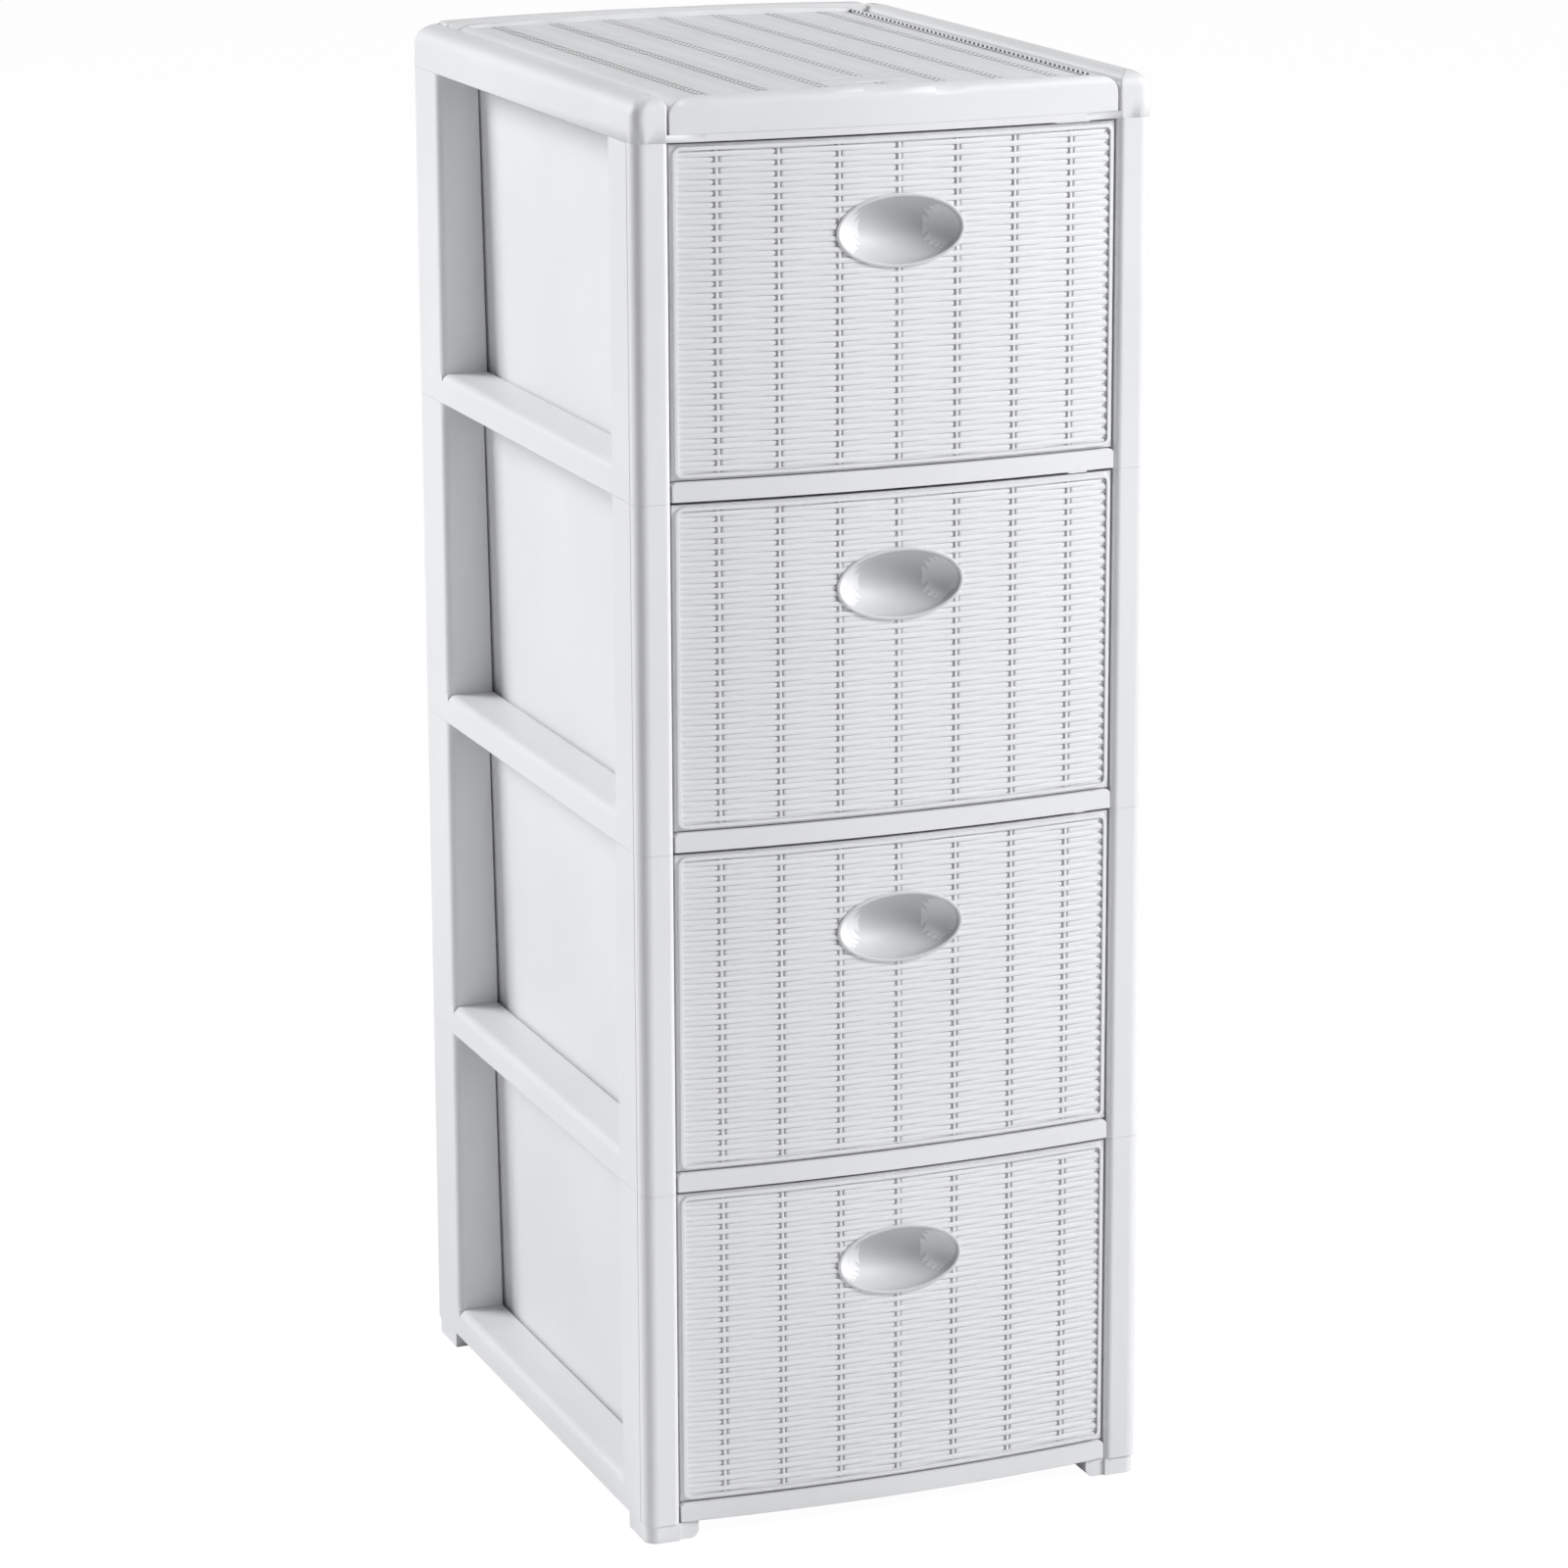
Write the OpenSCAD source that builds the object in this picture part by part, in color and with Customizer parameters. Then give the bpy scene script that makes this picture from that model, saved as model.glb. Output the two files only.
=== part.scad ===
// Free-standing drawer tower of moulded plastic: stacked levels of side frames and shelves, a drawer in each
// level, a top frame that holds a crowned top panel, and four feet.
// Millimetres. +Z is up, the fronts face -Y, and the origin is the middle of the footprint on the floor.

/* [Tower] */
// Overall width over the side frames
tower_w = 300; // [280:5:340]
// Overall depth, from the crown of the bowed front to the back of the rear posts
tower_d = 390; // [350:5:430]
// Height of one level, from seam to seam
level_h = 193; // [170:1:220]
// How far the middle of the front bows out past its ends
front_bow = 7.5; // [5:0.5:10]
// How far the ends of the bars sit behind the faces of the posts
bar_recess = 1.5; // [1:0.1:2.5]
// Gap between pieces that plug together
fit_gap = 0.3; // [0.2:0.05:0.4]
// Gap between the ends of a front bar and the posts
bar_gap = 0.9; // [0.5:0.1:1.2]

/* [Side frames] */
// Width of a front post, seen from the front
post_w = 20; // [18:0.5:22]
// Depth of a front post, seen from the side
front_post_d = 38.5; // [34:0.5:44]
// Depth of a rear post, seen from the side
rear_post_d = 50.5; // [44:0.5:56]
// Width of a rear post at its top, where its draft ends
rear_post_w = 25.2; // [24:0.2:27]
// Width of the side rail, whose top is the ledge beside the drawer
rail_w = 27.8; // [27.2:0.2:29]
// Height of the side rail
rail_h = 17; // [15:0.5:19]
// Wall of the hollow posts and rails
frame_wall = 3; // [2.5:0.25:3.5]
// Closed front of the front posts, which the gap beside a drawer looks onto
post_front_wall = 9; // [7:0.5:12]
// Radius of the outer front corner
front_corner_r = 7; // [5:0.5:9]
// Radius of the outer rear corner
rear_corner_r = 12; // [9:0.5:14]
// Radius of the front post's inner edge
inner_edge_r = 3.5; // [2:0.5:4.5]
// Radius of the ledge's outer edge
ledge_edge_r = 5; // [3:0.5:6]
// Radius of the rear post's edge at the window
window_edge_r = 4.5; // [3:0.5:6]
// Height of the tenons that join the levels
tenon_h = 8; // [6:0.5:9]
// Width and depth of the front tenon
front_tenon = [9, 24];
// Width and depth of the rear tenon
rear_tenon = [13, 28];
// Thickness of the stiffening ribs
rib_t = 2; // [1.6:0.2:2.6]
// Width of the crease that runs down the outside of each front post
crease_w = 0.8; // [0.6:0.1:1.2]

/* [Shelves] */
// Height of the front bar's top over the seam
bar_h = 11.3; // [10:0.1:13]
// Height of the front bar's lower edge over the seam
bar_low = 0.5; // [0.2:0.1:1]
// Radius of the front bar's upper corners
bar_end_r = 3; // [3:0.5:5]
// Thickness of the front bar
bar_t = 3; // [2.5:0.25:4]
// Thickness of the shelf's plate and of its turned-down back edge
shelf_t = 2.5; // [2:0.25:3]
// Height of the runners that carry the drawer, over the plate
runner_h = 0.9; // [0.7:0.1:1.1]
// Distance of each runner from the middle
runner_x = 80; // [60:5:95]
// Length of each tab that locks into a side rail
tab_l = 36; // [28:2:44]
// How far a tab reaches into the rail
tab_reach = 2.4; // [2:0.1:2.6]

/* [Drawers] */
// Gap over a drawer front
gap_over = 1.3; // [1:0.1:2]
// Gap under a drawer front
gap_under = 0.6; // [0.5:0.1:1]
// Gap beside a drawer front
gap_beside = 1.3; // [1:0.1:1.6]
// How far a drawer front sits behind the face of the bars
front_set = 0.5; // [0.3:0.1:1]
// Thickness of the front's plate
plate_t = 2.5; // [2:0.25:3]
// Width of plate left bare outside the raised rim
flange_w = 1.4; // [1:0.1:2]
// Width of the raised rim
rim_w = 2; // [1.6:0.1:2.6]
// Height of the raised rim over the plate
rim_h = 2; // [1.8:0.1:2.4]
// Radius of the rim's corners
rim_r = 4.5; // [3:0.5:7]
// Depth of the woven field under the top of the rim
field_depth = 1.6; // [1.4:0.1:1.8]
// Gap between the tub's top edge and a rear post's top
tub_gap_top = 1.3; // [1:0.1:2.3]
// Gap between the tub's bottom and a side rail
tub_gap_low = 2; // [1.8:0.1:4]
// Gap between the tub's top edge and the seam above it
tub_gap_over = 10.5; // [9:0.5:30]
// Gap between the closed tub and the plane of the tower's back, at the tub's top
tub_back_gap = 16; // [12:1:24]
// How far the tub's back leans in towards its bottom
tub_back_lean = 4; // [2:0.5:6]
// Wall of the tub
tub_wall = 2; // [1.8:0.1:2.4]
// Radius of the tub's upright corners
tub_corner_r = 12; // [8:1:16]

/* [Handle recess] */
// Width of the elliptical mouth
scoop_w = 71; // [64:1:78]
// Height of the elliptical mouth
scoop_h = 36.7; // [32:0.5:40]
// Distance from the front's top edge down to the middle of the mouth
scoop_drop = 51.3; // [45:0.1:66]
// Straight depth behind the mouth, before the bowl starts
scoop_collar = 3.5; // [3:0.25:4.5]
// Depth of the bowl behind the collar
scoop_bowl = 15; // [11:0.5:16]
// Width of the raised ring round the mouth
ring_w = 1.6; // [1.2:0.1:2]
// Wall of the bowl
scoop_wall = 1.8; // [1.6:0.1:2.2]

/* [Top] */
// Height of the top frame
top_h = 25; // [23:0.5:27]
// Width of its side rails
cap_w = 19.5; // [18.5:0.5:21]
// Width of the slot between a side rail and the top panel
slot_w = 1.2; // [0.8:0.1:2]
// Height of the lip under the panel's apron
lip_h = 4; // [3.5:0.1:5]
// Outer radius of the side rail's round top
cap_out_r = 11; // [9:0.5:11.5]
// Inner radius of the side rail's round top
cap_in_r = 8; // [6:0.5:8]
// Radius of the rail's top edge at the front
cap_front_r = 8; // [5:0.5:9]
// Radius of the rail's upright inner edge at the front
cap_edge_r = 1.5; // [1:0.25:3]
// Radius of the rail's top edge at the back
cap_back_r = 14; // [10:0.5:16]
// How much the top panel crowns over its width
crown = 2; // [1:0.25:3]
// Radius of the panel's long top edges
panel_side_r = 9; // [7:0.5:12]
// Radius of the panel's top edge over the apron
panel_front_r = 6.5; // [4:0.5:8]
// Wall of the top panel
panel_t = 2.5; // [2:0.25:3]
// Depth of the bar behind the panel
rear_bar_d = 18; // [14:0.5:22]
// Gap between that bar and the panel
rear_slot_w = 0.9; // [0.6:0.1:1.5]
// Radius of the bar's top edge at the back
rear_bar_r = 8; // [5:0.5:10]
// How far the middle of the bar rises over the side rails
rear_rise = 2.4; // [1:0.2:3]
// How far the middle of the panel's rear lip rises over its crown
rear_lip_rise = 1.6; // [0.8:0.1:2]
// Depth of the panel's rear lip
rear_lip_d = 3; // [2:0.5:5]
// Depth of the woven field in the panel
panel_field_depth = 2.6; // [2:0.1:3]
// Width of the smooth border along each side of the panel's field
panel_strip = 9; // [9:0.5:14]
// Depth of the smooth border in front of the field
panel_strip_front = 8; // [7.5:0.5:12]

/* [Feet] */
// Height of a foot
foot_h = 10; // [8:0.5:13]
// How far a foot sits in from the faces above it
foot_inset = 0.8; // [0.5:0.1:1.5]
// Length of a front foot along the side
foot_front_l = 31; // [28:1:36]
// Length of a rear foot along the side
foot_rear_l = 41; // [36:1:48]
// Reach of a foot under the front bar
foot_reach = 31.4; // [28:0.2:36]
// Radius of the lower corner at the foot's inner end
foot_end_r = 5; // [3:0.5:7]

/* [Hidden] */
$fn = 48;

levels = 4;
white = [0.90, 0.91, 0.92];
cut = 1;                                          // how far a cutting shape runs past what it cuts
arc_slip = 0.1;                                   // how far out the arcs at a bar's ends lie
big_fn = 1440;                                    // segments of the very large arcs
inner_half = tower_w / 2 - post_w;                // half of the clear width between the front posts
bar_half = inner_half - bar_gap;                  // half of a front bar's width
front_y = -tower_d / 2 + front_bow - bar_recess;  // plane of the front posts' faces
body_d = tower_d / 2 - front_y;                   // from that plane to the back
bow_r = (inner_half * inner_half + front_bow * front_bow) / (2 * front_bow);
bow_y = -tower_d / 2 + bow_r;                     // centre of the bowed face of the bars
lip_bow = front_bow - bar_recess;                 // the lip starts level with the posts' faces
lip_r = (inner_half * inner_half + lip_bow * lip_bow) / (2 * lip_bow);
lip_y = -tower_d / 2 + lip_r;
rail_half = tower_w / 2 - rail_w;                 // half of the clear width between the rails
front_h = level_h - bar_h - gap_over - gap_under;
front_half = inner_half - gap_beside;
front_back = front_set + rim_h + plate_t;         // from the bars' face to the back of the front's plate
ledge_y = bar_recess + front_back + 2 * fit_gap;  // the ledge's front end, which stops the closed drawer
tub_z = bar_h + runner_h + fit_gap;               // underside of the tub over the seam
tub_h = level_h - tub_z - tub_gap_over;
tub_half_top = tower_w / 2 - rear_post_w - tub_gap_top;
tub_half_low = rail_half - tub_gap_low;
tub_back = body_d - tub_back_gap;                 // the tub's back at its top, from the posts' faces
scoop_z = level_h - gap_over - scoop_drop;        // middle of the mouth over the seam under its level
panel_half = tower_w / 2 - cap_w - slot_w;
window_l = body_d - front_post_d - rear_post_d;
apron_set = 0.6;                                  // how far the apron sits behind the lip
top_z = foot_h + levels * level_h;
panel_back = tower_d / 2 - rear_bar_d - rear_slot_w;
seat_d = 6;                                       // depth of the ledge that carries the panel's back edge

function level_z(n) = foot_h + (n - 1) * level_h;

// ---------- small shapes that repeat ----------

// What a rounded corner at the origin leaves out of a square corner towards +x and +y
module corner_off(r) {
    difference() {
        translate([-cut, -cut]) square(r + cut);
        translate([r, r]) circle(r);
    }
}

// Extrudes a drawing of (y, z) along x from x0 to x1
module along_x(x0, x1) {
    translate([x0, 0, 0]) rotate([90, 0, 90]) linear_extrude(x1 - x0) children();
}

// Extrudes a drawing of (x, z) along y from y0 to y1
module along_y(y0, y1) {
    translate([0, y1, 0]) rotate([90, 0, 0]) linear_extrude(y1 - y0) children();
}

// Space between two upright bowed faces: the outer one bows as the bars do, t is the depth behind it
module bowed_slab(z0, z1, back, t, r = bow_r, y = bow_y) {
    difference() {
        translate([0, y, z0]) cylinder(r = r - back, h = z1 - z0, $fn = big_fn);
        translate([0, y, z0 - cut]) cylinder(r = r - back - t, h = z1 - z0 + 2 * cut, $fn = big_fn);
    }
}

// ---------- side frames ----------
// Drawn as the left frame, with its outer face at x = 0, its front at y = 0 and its seam at z = 0

module front_post_plan() {
    difference() {
        square([post_w, front_post_d]);
        corner_off(front_corner_r);
        translate([post_w, 0]) mirror([1, 0]) corner_off(inner_edge_r);
    }
}

module rear_post_plan() {
    difference() {
        translate([0, body_d - rear_post_d]) square([rail_w, rear_post_d]);
        translate([0, body_d]) mirror([0, 1]) corner_off(rear_corner_r);
    }
}

module rail_plan() {
    translate([0, front_post_d - cut]) square([rail_w, window_l + 2 * cut]);
    translate([post_w - cut, ledge_y]) square([rail_w - post_w + cut, front_post_d]);
}

// Outline of a rear post across the tower, with the draft of its inner face
module rear_post_draft() {
    polygon([[0, 0], [rail_w, 0], [rail_w, rail_h], [rear_post_w, level_h], [0, level_h]]);
}

// Tenon blocks at the two posts, grown by gap where they cut a socket
module tenons(h, gap = 0) {
    for (t = [[front_tenon, front_post_d / 2], [rear_tenon, body_d - rear_post_d / 2]])
        translate([frame_wall + 1 - gap, t[1] - t[0][1] / 2 - gap, 0])
            cube([t[0][0] + 2 * gap, t[0][1] + 2 * gap, h]);
}

// Hollow of a post from y0 to y1, open towards the drawer, with its ribs left standing
module post_hollow(y0, y1) {
    z0 = rail_h + frame_wall;
    z1 = level_h - tenon_h - frame_wall;
    bays = 4;
    bay = (z1 - z0 + rib_t) / bays;
    for (i = [0 : bays - 1])
        translate([frame_wall, y0, z0 + i * bay])
            cube([rail_w, y1 - y0, bay - rib_t]);
}

// Hollow of the side rail, open downwards, with its cross ribs left standing
module rail_hollow() {
    bays = 6;
    bay = (window_l + rib_t) / bays;
    for (i = [0 : bays - 1])
        translate([frame_wall, front_post_d + i * bay, -cut])
            cube([rail_w - 2 * frame_wall, bay - rib_t, rail_h - frame_wall + cut]);
}

// Slots in the rail's inner wall that take the shelf's tabs
module tab_slots() {
    for (y = tab_places())
        translate([rail_w - frame_wall - cut, y - tab_l / 2 - fit_gap, bar_h - shelf_t])
            cube([frame_wall + 2 * cut, tab_l + 2 * fit_gap, shelf_t + fit_gap]);
}

function tab_places() = [for (i = [0 : 2]) front_post_d + window_l * (1 + 2 * i) / 6];

module side_frame() {
    difference() {
        union() {
            linear_extrude(level_h) front_post_plan();
            intersection() {
                linear_extrude(level_h) rear_post_plan();
                along_y(0, body_d) rear_post_draft();
            }
            linear_extrude(rail_h) rail_plan();
            translate([0, 0, level_h]) tenons(tenon_h);
        }
        // outer edge of the ledge, and the rear post's edge at the window
        along_y(front_post_d, body_d - rear_post_d)
            translate([0, rail_h]) mirror([0, 1]) corner_off(ledge_edge_r);
        translate([0, body_d - rear_post_d, rail_h]) linear_extrude(level_h) corner_off(window_edge_r);
        // crease down the outside of the front post
        translate([0, front_corner_r + 3, -cut]) rotate(45)
            translate([-crease_w / 2, -crease_w / 2, 0]) cube([crease_w, crease_w, level_h + 2 * cut]);
        translate([0, 0, -cut]) tenons(tenon_h + fit_gap + cut, fit_gap);
        post_hollow(post_front_wall, front_post_d - frame_wall);
        post_hollow(body_d - rear_post_d + frame_wall, body_d - frame_wall);
        rail_hollow();
        tab_slots();
    }
}

module side_frame_left(n) {
    color(white) translate([-tower_w / 2, front_y, level_z(n)]) side_frame();
}

module side_frame_right(n) {
    color(white) mirror([1, 0, 0]) translate([-tower_w / 2, front_y, level_z(n)]) side_frame();
}

// ---------- shelves ----------

// Plan of the shelf's plate in the tower's own x and y
module shelf_plan() {
    w = rail_half - fit_gap;
    intersection() {
        union() {
            translate([-w, -tower_d / 2]) square([2 * w, tower_d]);
            translate([-bar_half, -tower_d / 2])
                square([2 * bar_half, front_y + ledge_y - fit_gap + tower_d / 2]);
        }
        union() {
            translate([0, bow_y]) circle(bow_r, $fn = big_fn);
            translate([-tower_w / 2, 0]) square([tower_w, tower_d / 2]);
        }
    }
}

module shelf(n) {
    w = rail_half - fit_gap;
    rib_low = bar_h - shelf_t - 5;
    color(white) translate([0, 0, level_z(n)]) {
        difference() {
            union() {
                // plate, with the tabs that enter the side rails
                translate([0, 0, bar_h - shelf_t]) linear_extrude(shelf_t) {
                    shelf_plan();
                    for (y = tab_places())
                        translate([-w - tab_reach, front_y + y - tab_l / 2])
                            square([2 * (w + tab_reach), tab_l]);
                }
                // front bar
                intersection() {
                    bowed_slab(bar_low, bar_h, 0, bar_t);
                    translate([-bar_half, -tower_d / 2 - cut, 0]) cube([2 * bar_half, tower_d, bar_h]);
                }
            }
            // upper corners of the bar's ends
            along_y(-tower_d / 2 - cut, front_y + ledge_y)
                for (m = [0, 1])
                    mirror([m, 0]) translate([bar_half + arc_slip, bar_h + arc_slip])
                        mirror([1, 0]) mirror([0, 1]) corner_off(bar_end_r);
        }
        // turned-down back edge
        translate([-w, tower_d / 2 - shelf_t, 0]) cube([2 * w, shelf_t, bar_h]);
        // runners on top, and ribs underneath
        for (x = [-runner_x, runner_x])
            translate([x - 4, front_y + ledge_y + 4, bar_h - shelf_t])
                cube([8, body_d - ledge_y - 12, shelf_t + runner_h]);
        for (x = [-w + rib_t, -runner_x, 0, runner_x, w - rib_t])
            translate([x - rib_t / 2, front_y + 1, rib_low])
                cube([rib_t, body_d - 2, bar_h - rib_low - 1]);
        for (y = tab_places())
            translate([-w, front_y + y - rib_t / 2, rib_low]) cube([2 * w, rib_t, bar_h - rib_low - 1]);
    }
}

// ---------- drawers ----------

// Tub from the back of the front's plate to the rear, with every face leaning in towards the bottom;
// wall is how far this solid sits inside the outer one
module tub_solid(wall) {
    lean = tub_back_lean;
    r = tub_corner_r - wall;
    y0 = ledge_y - 4;
    for_low = [tub_half_low - wall, tub_back - lean - wall];
    for_top = [tub_half_top - wall, tub_back - wall];
    hull() {
        translate([0, 0, tub_z + wall]) linear_extrude(0.01) tub_plan(for_low, y0, r);
        translate([0, 0, tub_z + tub_h - 0.01 + (wall > 0 ? cut : 0)]) linear_extrude(0.01)
            tub_plan(for_top, y0, r);
    }
}

// Plan of the tub: square at the front, round at the two rear corners
module tub_plan(size, y0, r) {
    half = size[0];
    translate([-half, y0]) square([2 * half, size[1] - y0 - r]);
    for (x = [-half + r, half - r]) translate([x, size[1] - r]) circle(r, $fn = 32);
    translate([-half + r, y0]) square([2 * (half - r), size[1] - y0]);
}

// Outline of the front, inset from the plate's edge by d, in x and z over the seam
module front_outline(d, r) {
    w = front_half - d;
    z0 = bar_h + gap_under + d;
    h = front_h - 2 * d;
    difference() {
        translate([-w, z0]) square([2 * w, h]);
        if (r > 0)
            for (sx = [0, 1], sz = [0, 1])
                translate([sx ? w : -w, sz ? z0 + h : z0])
                    mirror([sx, 0]) mirror([0, sz]) corner_off(r);
    }
}

// Ellipse of the mouth, grown by d
module mouth(d) {
    scale([1, (scoop_h / 2 + d) / (scoop_w / 2 + d)]) circle(scoop_w / 2 + d, $fn = 64);
}

// Depth of the bowl at the elliptical radius q, which is 1 at the mouth
function bowl(q) = scoop_bowl * pow(1 - q * q, 0.6);

// Recess of the handle as a closed body whose open end is at y = 0 and whose bowl goes towards +y.
// grow widens it and back deepens it, for the wall behind the bowl.
module scoop(front, grow, back) {
    rings = 9;
    turns = 48;
    qs = [for (i = [0 : rings]) i == rings ? 1 : sin(90 * i / rings)];
    rx = scoop_w / 2 + grow;
    rz = scoop_h / 2 + grow;
    bottom = [for (i = [1 : rings], j = [0 : turns - 1])
        let (a = 360 * j / turns, q = qs[i])
            [rx * q * cos(a), scoop_collar + back + bowl(q), rz * q * sin(a)]];
    top = [for (j = [0 : turns - 1]) [rx * cos(360 * j / turns), -front, rz * sin(360 * j / turns)]];
    centre = [[0, scoop_collar + back + bowl(0), 0]];
    points = concat(centre, bottom, top);
    function ring(i, j) = 1 + (i - 1) * turns + j % turns;
    faces = concat(
        [for (j = [0 : turns - 1]) [0, ring(1, j), ring(1, j + 1)]],
        [for (i = [1 : rings - 1], j = [0 : turns - 1]) [ring(i, j), ring(i + 1, j), ring(i + 1, j + 1)]],
        [for (i = [1 : rings - 1], j = [0 : turns - 1]) [ring(i, j), ring(i + 1, j + 1), ring(i, j + 1)]],
        [for (j = [0 : turns - 1]) [ring(rings, j), ring(rings + 1, j), ring(rings + 1, j + 1)]],
        [for (j = [0 : turns - 1]) [ring(rings, j), ring(rings + 1, j + 1), ring(rings, j + 1)]],
        [[for (j = [0 : turns - 1]) ring(rings + 1, j)]]
    );
    polyhedron(points, faces, convexity = 4);
}

module at_mouth() {
    translate([0, -tower_d / 2 + front_set, scoop_z]) children();
}

module drawer(n) {
    side = tower_w;
    color(white) translate([0, 0, level_z(n)]) {
        difference() {
            union() {
                // front plate, field and raised rim, all bowed as the bars are
                intersection() {
                    bowed_slab(0, level_h, front_set + rim_h, plate_t);
                    along_y(-side, 0) front_outline(0, 0);
                }
                intersection() {
                    bowed_slab(0, level_h, front_set + field_depth, rim_h);
                    along_y(-side, 0) front_outline(flange_w, rim_r);
                }
                intersection() {
                    bowed_slab(0, level_h, front_set, rim_h + 0.5);
                    along_y(-side, 0) difference() {
                        front_outline(flange_w, rim_r);
                        front_outline(flange_w + rim_w, rim_r - rim_w);
                    }
                }
                // ring and wall of the handle recess
                intersection() {
                    bowed_slab(0, level_h, front_set - 0.2, rim_h + 1);
                    along_y(-side, 0) translate([0, scoop_z]) mouth(ring_w);
                }
                at_mouth() scoop(-rim_h, scoop_wall, scoop_wall);
                // tub, open at the top
                translate([0, front_y, 0]) difference() {
                    tub_solid(0);
                    tub_solid(tub_wall);
                }
            }
            at_mouth() scoop(4, 0, 0);
        }
    }
}

// ---------- top ----------

// Outline of a side rail of the top frame, in x from its outer face and z
module cap_profile() {
    difference() {
        square([cap_w, top_h]);
        translate([0, top_h]) mirror([0, 1]) corner_off(cap_out_r);
        translate([cap_w, top_h]) mirror([1, 0]) mirror([0, 1]) corner_off(cap_in_r);
    }
}

// Length of a side rail in y and z, with its front and rear top edges rounded
module cap_length() {
    difference() {
        square([body_d, top_h]);
        translate([0, top_h]) mirror([0, 1]) corner_off(cap_front_r);
        translate([body_d, top_h]) mirror([1, 0]) mirror([0, 1]) corner_off(cap_back_r);
    }
}

module cap_plan() {
    difference() {
        square([cap_w, body_d]);
        corner_off(front_corner_r);
        translate([cap_w, 0]) mirror([1, 0]) corner_off(cap_edge_r);
        translate([0, body_d]) mirror([0, 1]) corner_off(rear_corner_r);
    }
}

// One side rail with the ledge that carries the panel, drawn as the left one
module cap_rail() {
    seat = [tenon_h + fit_gap + 1, front_post_d, body_d - rear_post_d];
    difference() {
        union() {
            intersection() {
                along_y(0, body_d) cap_profile();
                along_x(0, cap_w) cap_length();
                linear_extrude(top_h) cap_plan();
            }
            translate([cap_w - cut, front_corner_r, 0])
                cube([slot_w + panel_side_r + cut, body_d - front_corner_r - shelf_t, lip_h]);
        }
        translate([0, 0, -cut]) tenons(tenon_h + fit_gap + cut, fit_gap);
        // hollow between the two seats of the tenons
        translate([frame_wall, seat[1], -cut])
            cube([cap_w - 2 * frame_wall, seat[2] - seat[1], top_h - cap_in_r - frame_wall + cut]);
    }
}

module top_frame() {
    bar_w = 2 * (tower_w / 2 - cap_w + 1);
    color(white) translate([0, 0, top_z]) {
        for (m = [0, 1]) mirror([m, 0, 0]) translate([-tower_w / 2, front_y, 0]) cap_rail();
        // lip along the front
        intersection() {
            bowed_slab(0, lip_h, 0, 9, lip_r, lip_y);
            translate([-bar_w / 2, -tower_d / 2 - cut, 0]) cube([bar_w, tower_d / 2, lip_h]);
        }
        rear_bar(bar_w);
    }
}

// Radius of an arc that rises by rise over the half width half
function arc_radius(half, rise) = (half * half + rise * rise) / (2 * rise);

// Outline across the tower, w wide, from z0 up to a crowned top that rises by rise to z1 in the middle
module crowned(w, z0, z1, rise) {
    r = arc_radius(panel_half, rise);
    intersection() {
        translate([-w / 2, z0]) square([w, z1 - z0]);
        translate([0, z1 - r]) circle(r, $fn = 2 * big_fn);
    }
}

// Bar along the back, crowned and hollow underneath, with the ledge for the panel's back edge
module rear_bar(w) {
    y0 = tower_d / 2 - rear_bar_d;
    difference() {
        intersection() {
            along_y(y0, tower_d / 2) crowned(w, 0, top_h + rear_rise, rear_rise);
            along_x(-w / 2, w / 2) difference() {
                translate([y0, 0]) square([rear_bar_d, top_h + rear_rise]);
                translate([tower_d / 2, top_h + rear_rise]) mirror([1, 0]) mirror([0, 1])
                    corner_off(rear_bar_r);
                translate([y0, top_h + rear_rise]) mirror([0, 1]) corner_off(rear_rise);
            }
        }
        translate([-w / 2 + frame_wall, y0 + frame_wall, -cut])
            cube([w - 2 * frame_wall, rear_bar_d - 2 * frame_wall, top_h - rear_bar_r - frame_wall + cut]);
    }
    translate([-w / 2, y0 - seat_d, 0]) cube([w, seat_d + cut, lip_h]);
}

// Radius of the crowned face that lies d under the panel's top
function crown_radius(d) = arc_radius(panel_half, crown) - d;

// Section of the top panel across the tower, made smaller by d on every face but the lower one
module panel_across(d) {
    half = panel_half - d;
    low = lip_h - (d > 0 ? cut : 0);
    intersection() {
        translate([0, top_h - d - crown_radius(d)]) circle(crown_radius(d), $fn = 2 * big_fn);
        difference() {
            translate([-half, low]) square([2 * half, top_h]);
            for (m = [0, 1])
                mirror([m, 0]) translate([half, top_h - crown - d]) mirror([1, 0]) mirror([0, 1])
                    corner_off(panel_side_r - d);
        }
    }
}

// Section of the top panel from front to back, as y from the centre of the bowed apron and z
module panel_along(d) {
    front = lip_r - apron_set - d;
    difference() {
        square([front, top_h - d]);
        translate([front, top_h - d]) mirror([1, 0]) mirror([0, 1]) corner_off(panel_front_r - d);
    }
}

// Body of the top panel, made smaller by d on every face but the lower one
module panel_body(d) {
    back = panel_back - d;
    intersection() {
        along_y(-tower_d, back) panel_across(d);
        translate([0, lip_y, 0]) rotate_extrude($fn = big_fn) panel_along(d);
        along_x(-tower_w, tower_w) difference() {
            translate([-tower_d, 0]) square([tower_d + back, top_h]);
            translate([back, top_h - d]) mirror([1, 0]) mirror([0, 1]) corner_off(panel_front_r - d);
        }
    }
}

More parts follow.
